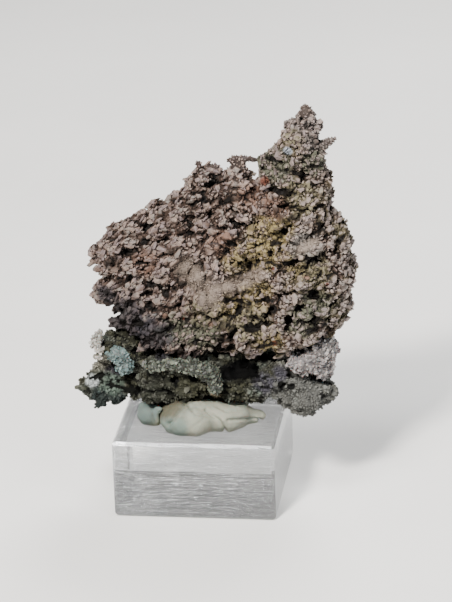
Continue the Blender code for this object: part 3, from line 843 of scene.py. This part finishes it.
def silverMaterial():
    look = silverLook
    made, tree, shader, coords = newMaterial("tarnished silver", 0.6, Metallic=0.1,
                                             Specular_IOR_Level=0.14)
    wide = look["blotches"]
    broad = noiseOf(tree, coords, wide["olive"], detail=2.0)
    middle = noiseOf(tree, coords, wide["tops"], detail=2.0, shift=6.0)
    fine = noiseOf(tree, coords, wide["lightness"], detail=3.0, shift=4.0)
    grain = attribute(tree, "tone")
    tone = calc(tree, "ADD", calc(tree, "MULTIPLY", grain, 0.4),
                calc(tree, "MULTIPLY", middle, 0.6))
    top = ramp(tree, tone, [(stop, look[tint]) for stop, tint in look["tops"]])
    # painted highlight: a few grains are painted pale as if they glinted
    paintedGlints = remap(tree, grain, 0.97, 0.985, 0.0, look["paintedGlintShare"])
    top = blend(tree, paintedGlints, top, look["paintedGlint"])

    # greyer on the right, where the recesses are olive
    across = vectorCalc(tree, "DOT_PRODUCT", coords, (1.0, 0.0, -0.3))
    rightward = remap(tree, across, *(c * mm for c in look["greySide"]))
    top = blend(tree, calc(tree, "MULTIPLY", rightward, 0.5), top, look["grey"])
    olive = calc(tree, "MULTIPLY", remap(tree, broad, 0.4, 0.6), rightward)
    recess = blend(tree, olive, look["recess"], look["olive"])

    # patches colour the recesses, and only some of the tops
    edges = noiseOf(tree, coords, wide["edges"], detail=2.0, shift=9.0)
    wobble = calc(tree, "SUBTRACT", edges, 0.5)
    some = remap(tree, calc(tree, "ADD", calc(tree, "MULTIPLY", grain, 0.6), middle),
                 0.76, 0.86, 0.1, 0.85)
    plan = frontPlan(tree, coords)
    for tint, *spots in look["patches"]:
        topShare = look["boldShare"] if tint in look["bold"] else some
        topTint = look["slate" if tint == "darkBlue" else tint]
        for spot in spots:
            mask = zone(tree, plan, spot, wobble)
            top = blend(tree, calc(tree, "MULTIPLY", mask, topShare), top, topTint)
            recess = blend(tree, calc(tree, "MULTIPLY", mask, look["recessShare"]), recess,
                           look[tint])

    # the height of each point on its grain, and the lie of the body there; low points take the
    # recess tone, the tarnish's own olive and gold partly darkened as painted shade, and high
    # points the top tone
    above, lie = attribute(tree, "above"), attribute(tree, "relief")
    topness = remap(tree, calc(tree, "ADD", above, lie), 0.0, look["lightTop"] * mm)
    black, clear = look["hollow"]
    openness = remap(tree, lie, black * mm, clear * mm, 0.02)
    footShade = remap(tree, above, 0.0, look["darkFoot"] * mm, 0.3)
    colour = blend(tree, topness, recess, top)
    # painted shade: hollows of the body and the feet of the grains are painted near-black
    for share in (openness, footShade):
        colour = blend(tree, share, look["paintedShade"], colour)
    plates = calc(tree, "MULTIPLY", attribute(tree, "plate"), look["plateShare"])
    colour = blend(tree, plates, colour, look["plate"])
    # painted shade: darker towards the left side and lighter to the right, times a random mottling
    left, right = (c * mm for c in look["lightSide"])
    lightness = calc(tree, "MULTIPLY", remap(tree, fine, 0.25, 0.75, *look["mottling"]),
                     remap(tree, across, left, right, *look["lightness"]))
    grey = vectorOf(tree, lightness, lightness, lightness)
    colour = blend(tree, 1.0, colour, grey, "MULTIPLY")
    rough = noiseOf(tree, coords, wide["sheen"], detail=2.0)
    rough = remap(tree, rough, 0.3, 0.7, *look["sheen"])
    give(tree, shader, Base_Color=colour, Roughness=rough)
    addBump(tree, shader, coords, look["bump"], detail=3.0)
    return made


def makeSilver():
    look = silverLook
    body = growBody("native_silver", look, [makeSprig(*sprig) for sprig in look["sprigs"]])
    sinkHoles(body, look)
    plate = np.zeros(len(body.data.vertices))
    for path, wide, lift in look["plates"]:
        edge = wide * 1.5  # a plate is full as far as wide / 2, and ends here
        inside = np.clip((edge - alongPath(pointsOf(body), path)) / wide, 0, 1)
        push(body, lift * inside)
        plate = np.maximum(plate, inside)
    setNumbers(body, "plate", plate)
    share = (1.0 - plate) * (1.0 - finePart(body, look))
    dressBody(body, look, share, silverMaterial(), "tarnished_silver", "native_silver",
              "silver")


makeSilver()
print("silver made")


# the host rock

rockLook = {
    # the deep tone is painted black shade in hollows and shadows; the dark tone is the stone's own
    # and also painted shade at the grains' feet
    "deep": (2, 2, 2), "dark": (16, 17, 13), "olive": (50, 50, 38), "grey": (72, 73, 66),
    "pale": (112, 112, 104), "teal": (31, 38, 38), "lobe": (91, 91, 88),
    "lump": (40, 41, 35), "purple": (56, 54, 62), "green": (86, 98, 88),
    "white": (158, 163, 162), "beige": (118, 116, 106), "chip": (132, 120, 98),
    # patches: tone, then across, up and radius of each spot in mm
    "patches": [
        ("lobe", (18.9, 19.0, 6.2)), ("lump", (-8.3, 18.7, 3.6)), ("teal", (-18.0, 17.4, 3.6)),
        ("olive", (0.0, 19.6, 4.0)), ("beige", (-19.4, 24.9, 1.8)),
        ("purple", (-16.7, 22.4, 1.4)), ("green", (-17.0, 20.5, 1.9)),
        ("white", (-20.6, 21.0, 1.1)), ("green", (2.8, 21.2, 1.2)), ("chip", (2.4, 19.1, 0.9)),
        ("purple", (11.4, 21.4, 1.9), (-7.2, 26.3, 1.2)), ("pale", (16.2, 26.5, 2.6)),
        # the dark spot is painted shadow in the gap between the left shelf and the middle lump
        ("dark", (-12.3, 19.2, 1.0)), ("purple", (14.6, 23.4, 1.4)),
    ],
    # painted shadow in the dark cavity under the silver's overhang: black spots, across, up and
    # radius in mm
    "hollows": [(5.6, 23.3, 1.8), (8.6, 23.8, 1.8)],
    "patchShare": 0.85, "overhangShadowShare": 0.95,
    # a grain's foot is painted darkest as shade at the first height and clear at the second, and a
    # hollow is painted black as shade at its depth, in mm
    "foot": (-0.04, 0.12), "hollow": -0.7, "sheen": (0.85, 0.5),
    # where each tone stands in the noise, and the widths of the blotches and of their edges
    "stones": [(0.3, "dark"), (0.46, "olive"), (0.58, "grey"), (0.72, "green")],
    "blotches": 3.4, "edges": 1.8, "bump": (0.25, 0.12, 0.8),
    "voxel": 0.5, "inset": 0.75, "solidVoxel": 0.35, "grownVoxel": 0.3, "passes": 40,
    "bare": (-0.9, -0.5), "grit": (0.45, 0.07),
    "holes": {"long": 3.0, "wide": 1.5, "depthStretch": 1.6, "finer": 0.35, "from": 0.24,
              "fade": 0.16, "cells": 0.8, "cleft": 0.1, "deep": 0.9, "pit": 2.2},
    "pits": [(4.7, 23.1, 1.6), (7.0, 23.6, 2.1), (9.4, 23.8, 1.6), (-12.3, 19.2, 1.0),
             (14.6, 21.2, 0.9), (16.4, 20.9, 0.8), (-1.6, 22.4, 0.9), (0.8, 18.2, 0.9),
             (-5.2, 21.6, 0.9), (11.6, 26.2, 1.0)],
    "filled": [(18.9, 19.4, 5.0)],
    "coarse": {"spacing": 1.5, "size": 0.85, "thickness": 0.85, "raise": 0.1, "follow": 0.85,
               "tilt": 0.45, "focus": (99, -9, 20), "seed": 11},
    "grains": [
        {"spacing": 1.4, "size": 0.5, "stretch": 1.25, "thickness": 0.65, "follow": 0.8,
         "tilt": 0.4, "focus": (99, 0, 20), "seed": 12},
        {"spacing": 0.42, "size": 0.31, "corners": 11, "raise": 0.03, "follow": 0.4,
         "focus": (99, 0, 20), "seed": 13},
    ],
    "sections": [
        ("front", (-far, -far, -far), (far, 0.5, far), 1),
        ("back", (-far, 0.5, -far), (far, far, far), 0.5),
    ],
}


def rockMaterial():
    look = rockLook
    made, tree, shader, coords = newMaterial("dark host rock", 0.72, Specular_IOR_Level=0.1)
    broad = noiseOf(tree, coords, look["blotches"], detail=4.0)
    plan = frontPlan(tree, coords)
    colour = ramp(tree, broad, [(stop, look[tint]) for stop, tint in look["stones"]])
    edges = noiseOf(tree, coords, look["edges"], detail=3.0, shift=2.0)
    wobble = calc(tree, "SUBTRACT", edges, 0.5)
    tone = attribute(tree, "tone")
    colour = blend(tree, remap(tree, tone, 0.3, 0.0, 0.0, 0.5), colour, look["dark"])
    patches = [(look[tint], *spots) for tint, *spots in look["patches"]]
    colour = patched(tree, colour, plan, wobble, look["patchShare"], patches)
    colour = blend(tree, remap(tree, tone, 0.7, 1.0, 0.0, 0.3), colour, look["pale"])
    # painted shade: black in the hollows of the body, and darker at the feet of the grains
    openness = remap(tree, attribute(tree, "relief"), look["hollow"] * mm, 0.0, 0.02)
    colour = blend(tree, openness, look["deep"], colour)
    low, high = look["foot"]
    footShade = remap(tree, attribute(tree, "above"), low * mm, high * mm, 0.5)
    colour = blend(tree, footShade, look["dark"], colour)
    hollows = [(look["deep"], *look["hollows"])]
    colour = patched(tree, colour, plan, wobble, look["overhangShadowShare"], hollows)
    rough = remap(tree, tone, 0.0, 1.0, *look["sheen"])
    give(tree, shader, Base_Color=colour, Roughness=rough)
    addBump(tree, shader, coords, look["bump"], detail=4.0)
    return made


def makeRock():
    body = growBody("host_rock", rockLook)
    sinkHoles(body, rockLook)
    share = 1.0 - pitsAt(body, rockLook["filled"])
    dressBody(body, rockLook, share, rockMaterial(), "dark_host_rock", "host_rock", "matrix")


makeRock()
print("rock made")


# the minerals in the rock

mineralGrowth = {
    "voxel": 0.3, "inset": 0.1, "solidVoxel": 0.3, "grownVoxel": 0.25, "passes": 30,
    "bare": (-1.2, -0.9), "grit": (0.35, 0.04),
    "coarse": {"spacing": 1.1, "size": 0.62, "spread": 0.3, "corners": 11, "thickness": 0.8,
               "follow": 0.6, "tilt": 0.7, "seed": 21},
    "grains": [{"spacing": 0.46, "size": 0.46, "corners": 12, "thickness": 0.7, "follow": 0.3,
                "seed": 22}],
    "sections": [("", (-far, -far, -far), (far, far, far), 1)],
    # the foot of a grain, painted dark as shade, in mm and its least share; the blotches in mm;
    # the bump as above; and the first place and the reach of the tones in the noise
    "foot": (-0.05, 0.12, 0.65), "blotches": 1.5, "bump": (0.25, 0.06, 0.7), "tones": (0.28, 0.4),
}

# node: slot, tones from the darkest, which is also painted as shade at the grains' feet, to the
# brightest
mineralTones = {
    "pink_calcite": ("pink_white_calcite", [(72, 68, 67), (100, 96, 95), (120, 114, 112),
                                            (146, 141, 137)]),
    "cream_calcite_knobs": ("cream_calcite", [(80, 78, 70), (142, 139, 133), (182, 179, 173)]),
    "blue_green_crust": ("blue_green_mineral", [(48, 58, 56), (76, 92, 91), (101, 116, 114)]),
    "pale_green_seam": ("pale_green_mineral", [(20, 22, 16), (50, 54, 45), (88, 93, 81)]),
}


def mineralMaterial(name, tones):
    look = mineralGrowth
    made, tree, shader, coords = newMaterial(name, 0.55)
    blotches = noiseOf(tree, coords, look["blotches"], detail=4.0)
    tone = calc(tree, "ADD", calc(tree, "MULTIPLY", attribute(tree, "tone"), 0.35),
                calc(tree, "MULTIPLY", blotches, 0.65))
    first, reach = look["tones"]
    stops = [first + reach * i / (len(tones) - 1) for i in range(len(tones))]
    colour = ramp(tree, tone, list(zip(stops, tones)))
    # painted shade: the feet of the grains take the darkest tone
    low, high, share = look["foot"]
    footShade = remap(tree, attribute(tree, "above"), low * mm, high * mm, share)
    colour = blend(tree, footShade, tones[0], colour)
    give(tree, shader, Base_Color=colour, Subsurface_Weight=0.1, Subsurface_Scale=0.6 * mm)
    addBump(tree, shader, coords, look["bump"], detail=4.0)
    return made


def makeMinerals():
    for node, (slot, tones) in mineralTones.items():
        body = growBody(node, mineralGrowth)
        dressBody(body, mineralGrowth, np.ones(len(body.data.vertices)),
                  mineralMaterial(slot.replace("_", " "), tones), slot, node,
                  node + "_finished")


makeMinerals()
print("minerals made")


# putty

# lengths in mm
puttySizes = {
    "voxel": 0.45, "smoothing": (0.7, 14), "grow": 0.35, "rest": 15.0, "settle": 0.45,
    "clearance": 0.01,
    # dents: height and width of each kind, and how sharp a fold is
    "planes": (0.24, 2.4), "grit": (0.05, 0.6), "folds": (0.09, 4.4), "foldSharpness": 9.0,
    "patchShare": 0.9, "speckShare": 0.35, "blotches": 3.0, "specks": 0.3,
    "bump": (0.5, 0.12, 0.8),
}
# tones are the putty's two, its left end's and its specks'; leftward is where the left tone
# begins and where it is full; a patch is its tone and its across, up and radius; a crease is its
# path on the front plan, its depth and its width
puttyWads = {
    "front_putty_wad": {
        "slot": "pale_putty", "leftward": (-13.0, -18.0),
        "tones": [(112, 114, 100), (130, 132, 118), (102, 112, 103), (94, 88, 66)],
        "patches": [((64, 60, 42), (-6.6, 16.9, 3.2)), ((88, 101, 93), (-5.6, 11.8, 2.2))],
        "creases": [
            ([(0.6, 15.9), (2.9, 13.7), (4.0, 11.6)], 0.6, 0.3),
            ([(-2.9, 17.9), (-4.6, 15.6), (-6.6, 12.8)], 0.7, 0.3),
            ([(4.6, 13.9), (8.8, 14.2), (10.8, 13.8)], 0.6, 0.25),
            ([(-3.0, 17.0), (-1.4, 15.0), (1.6, 14.6)], 0.25, 0.25),
            ([(2.0, 16.8), (4.4, 15.6), (7.4, 15.6)], 0.25, 0.25),
        ]},
    "left_putty_wad": {
        "slot": "blue_green_putty", "leftward": (-18.0, -19.8),
        "tones": [(89, 91, 71), (97, 93, 69), (80, 93, 88), (66, 54, 33)],
        "patches": [],
        "creases": [([(-4.4, 16.4), (-6.8, 14.6), (-7.6, 13.4)], 0.4, 0.35),
                    ([(-9.8, 16.4), (-8.2, 14.8), (-7.4, 13.2)], 0.2, 0.35)]},
}


def pressCreases(obj, creases):
    points = pointsOf(obj)
    depth = np.zeros(len(points))
    for path, deep, wide in creases:
        depth = np.maximum(depth, deep * np.exp(-(alongPath(points, path) / wide) ** 2))
    push(obj, -depth)


def dents(point):
    # pressed planes with soft folds between them, in mm
    sizes, spot = puttySizes, Vector(point)
    (plane, planeWide), (grit, gritWide) = sizes["planes"], sizes["grit"]
    deep, foldWide = sizes["folds"]
    fold = max(0.0, 1.0 - abs(noise.noise(spot / foldWide)) * sizes["foldSharpness"])
    broad, fine = noise.noise(spot / planeWide), noise.noise(spot / gritWide)
    return plane * broad - deep * fold + grit * fine


def puttyMaterial(look):
    made, tree, shader, coords = newMaterial(look["slot"].replace("_", " "), 0.75)
    middle, pale, left, speck = look["tones"]
    blotches = noiseOf(tree, coords, puttySizes["blotches"], detail=3.0)
    colour = ramp(tree, blotches, [(0.3, middle), (0.7, pale)])
    start, end = look["leftward"]
    across = vectorCalc(tree, "DOT_PRODUCT", coords, (1.0, 0.35, -0.5))
    colour = blend(tree, remap(tree, across, start * mm, end * mm), colour, left)
    wobble, plan = calc(tree, "SUBTRACT", blotches, 0.5), frontPlan(tree, coords)
    colour = patched(tree, colour, plan, wobble, puttySizes["patchShare"], look["patches"])
    specks = noiseOf(tree, coords, puttySizes["specks"], detail=2.0, shift=5.0)
    specks = remap(tree, specks, 0.36, 0.3, 0.0, puttySizes["speckShare"])
    colour = blend(tree, specks, colour, speck)
    give(tree, shader, Base_Color=colour, Subsurface_Weight=0.15, Subsurface_Scale=1.0 * mm)
    addBump(tree, shader, coords, puttySizes["bump"], detail=6.0, roughness=0.7)
    return made


def makePutty(node, look):
    sizes = puttySizes
    wad = copyOfNode(node, node + "_finished")
    remesh(wad, sizes["voxel"])
    relax(wad, *sizes["smoothing"])
    push(wad, sizes["grow"])
    subdivide(wad)
    push(wad, [dents(point) for point in pointsOf(wad) / mm])
    pressCreases(wad, look["creases"])
    points = pointsOf(wad)
    low = points[:, 2] < (sizes["rest"] + sizes["settle"]) * mm
    points[low, 2] = (sizes["rest"] + sizes["clearance"]) * mm
    place(wad, points)
    wad.data.materials.clear()
    wad.data.materials.append(puttyMaterial(look))
    finishPiece(wad, look["slot"], node)


for wadNode, wadLook in puttyWads.items():
    makePutty(wadNode, wadLook)
print("putty made")


# the clear block

blockLook = {
    "bevel": 0.55, "tone": (250, 251, 252), "ior": 1.49,
    # fine scratches: the turn of each set and its shift in the noise
    "scratches": ((0.2, 0.0), (1.1, 3.0), (2.0, 7.0), (2.7, 11.0)),
    "scratchWidth": 0.35, "scratchStretch": (0.03, 1.0, 1.0), "scratchDepth": -0.04,
    "scratchReach": 0.004,  # from the middle of the noise
    "roughness": (0.015, 0.35),
}


def blockMaterial():
    look = blockLook
    made, tree, shader, coords = newMaterial(
        "clear acrylic", 0.02, IOR=look["ior"], Transmission_Weight=1.0,
        Base_Color=linear(look["tone"]))
    scratches = None
    for angle, shift in look["scratches"]:
        turned = addNode(tree, "ShaderNodeMapping", {
            "Vector": coords, "Rotation": (angle, angle * 0.7, angle),
            "Scale": look["scratchStretch"]})
        lines = noiseOf(tree, turned.outputs[0], look["scratchWidth"], detail=1.0, shift=shift)
        lines = calc(tree, "ABSOLUTE", calc(tree, "SUBTRACT", lines, 0.5))
        lines = remap(tree, lines, look["scratchReach"], 0.0)
        scratches = lines if scratches is None else calc(tree, "MAXIMUM", scratches, lines)
    rough = remap(tree, scratches, 0.0, 1.0, *look["roughness"])
    give(tree, shader, Roughness=rough)
    bumpOf(tree, shader, scratches, look["scratchDepth"])
    return made


def makeBlock():
    low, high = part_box("display_block")
    bm = bmesh.new()
    bmesh.ops.create_cube(bm, size=1.0)
    bmesh.ops.scale(bm, vec=high - low, verts=bm.verts)
    bmesh.ops.translate(bm, vec=(low + high) / 2, verts=bm.verts)
    bmesh.ops.bevel(bm, geom=bm.edges[:], offset=blockLook["bevel"] * mm, segments=1,
                    profile=0.5, affect="EDGES")
    block = addObject("clear_block", meshFrom(bm, "clear_block"))
    block.data.materials.append(blockMaterial())
    finishPiece(block, "clear_acrylic", "display_block")


makeBlock()
print("block made")


# floor, light and camera

# lengths in metres
stageLook = {
    "floorSize": 3.0, "floorTones": [(0.3, (214, 213, 210)), (0.7, (220, 219, 216))],
    "aim": (0.0, 0.0, 0.045), "roomTone": (0.8, 0.82, 0.85, 1), "roomStrength": 0.1,
    # lamps: name, place, size, power and tone
    "lamps": [
        ("key light", (-0.14, -0.42, 0.46), 0.09, 9.5, (255, 250, 244)),
        ("fill light", (0.4, -0.36, 0.24), 0.2, 1.8, (244, 248, 255)),
        ("top light", (-0.08, -0.23, 0.57), 0.16, 3.0, (255, 255, 255)),
        ("back light", (0.1, 0.35, 0.4), 0.25, 3.5, (255, 255, 255)),
    ],
}


def makeFloor():
    bm = bmesh.new()
    bmesh.ops.create_grid(bm, x_segments=2, y_segments=2, size=stageLook["floorSize"])
    floor = addObject("floor", meshFrom(bm, "floor"))
    made, tree, shader, coords = newMaterial("pale floor", 0.7)
    tone = ramp(tree, noiseOf(tree, coords, 60.0), stageLook["floorTones"])
    give(tree, shader, Base_Color=tone)
    floor.data.materials.append(made)


def makeLights():
    for name, spot, size, power, tone in stageLook["lamps"]:
        lamp = bpy.data.lights.new(name, "AREA")
        lamp.size = size
        lamp.energy = power
        lamp.color = linear(tone)[:3]
        obj = addObject(name, lamp)
        obj.location = spot
        onward = Vector(stageLook["aim"]) - Vector(spot)
        obj.rotation_euler = onward.to_track_quat("-Z", "Y").to_euler()
    world = bpy.data.worlds.new("soft room")
    world.use_nodes = True
    background = world.node_tree.nodes["Background"]
    background.inputs["Color"].default_value = stageLook["roomTone"]
    background.inputs["Strength"].default_value = stageLook["roomStrength"]
    bpy.context.scene.world = world


# where the camera stands, from its distance (mm), its angles and its shift across the view
cameraView = {"elevation": 21.98, "azimuth": 8.09, "roll": -1.89, "distance": 567.06,
              "across": 4.93, "up": 34.417, "lens": 179.4, "sensor": 36.0, "nearest": 10.0}


def makeCamera():
    view = cameraView
    elevation, azimuth = math.radians(view["elevation"]), math.radians(view["azimuth"])
    roll = math.radians(view["roll"])
    back = Vector((math.sin(azimuth) * math.cos(elevation),
                   -math.cos(azimuth) * math.cos(elevation), math.sin(elevation)))
    level = Vector((math.cos(azimuth), math.sin(azimuth), 0))
    upright = back.cross(level)
    right = level * math.cos(roll) + upright * math.sin(roll)
    up = upright * math.cos(roll) - level * math.sin(roll)
    spot = (level * view["across"] + upright * view["up"] + back * view["distance"]) * mm
    camera = bpy.data.cameras.new("camera")
    camera.lens = view["lens"]
    camera.sensor_width = view["sensor"]
    camera.clip_start = view["nearest"] * mm
    obj = addObject("camera", camera)
    obj.matrix_world = Matrix((
        (right.x, up.x, back.x, spot.x), (right.y, up.y, back.y, spot.y),
        (right.z, up.z, back.z, spot.z), (0, 0, 0, 1)))
    bpy.context.scene.camera = obj


makeFloor()
makeLights()
makeCamera()
print("stage set")
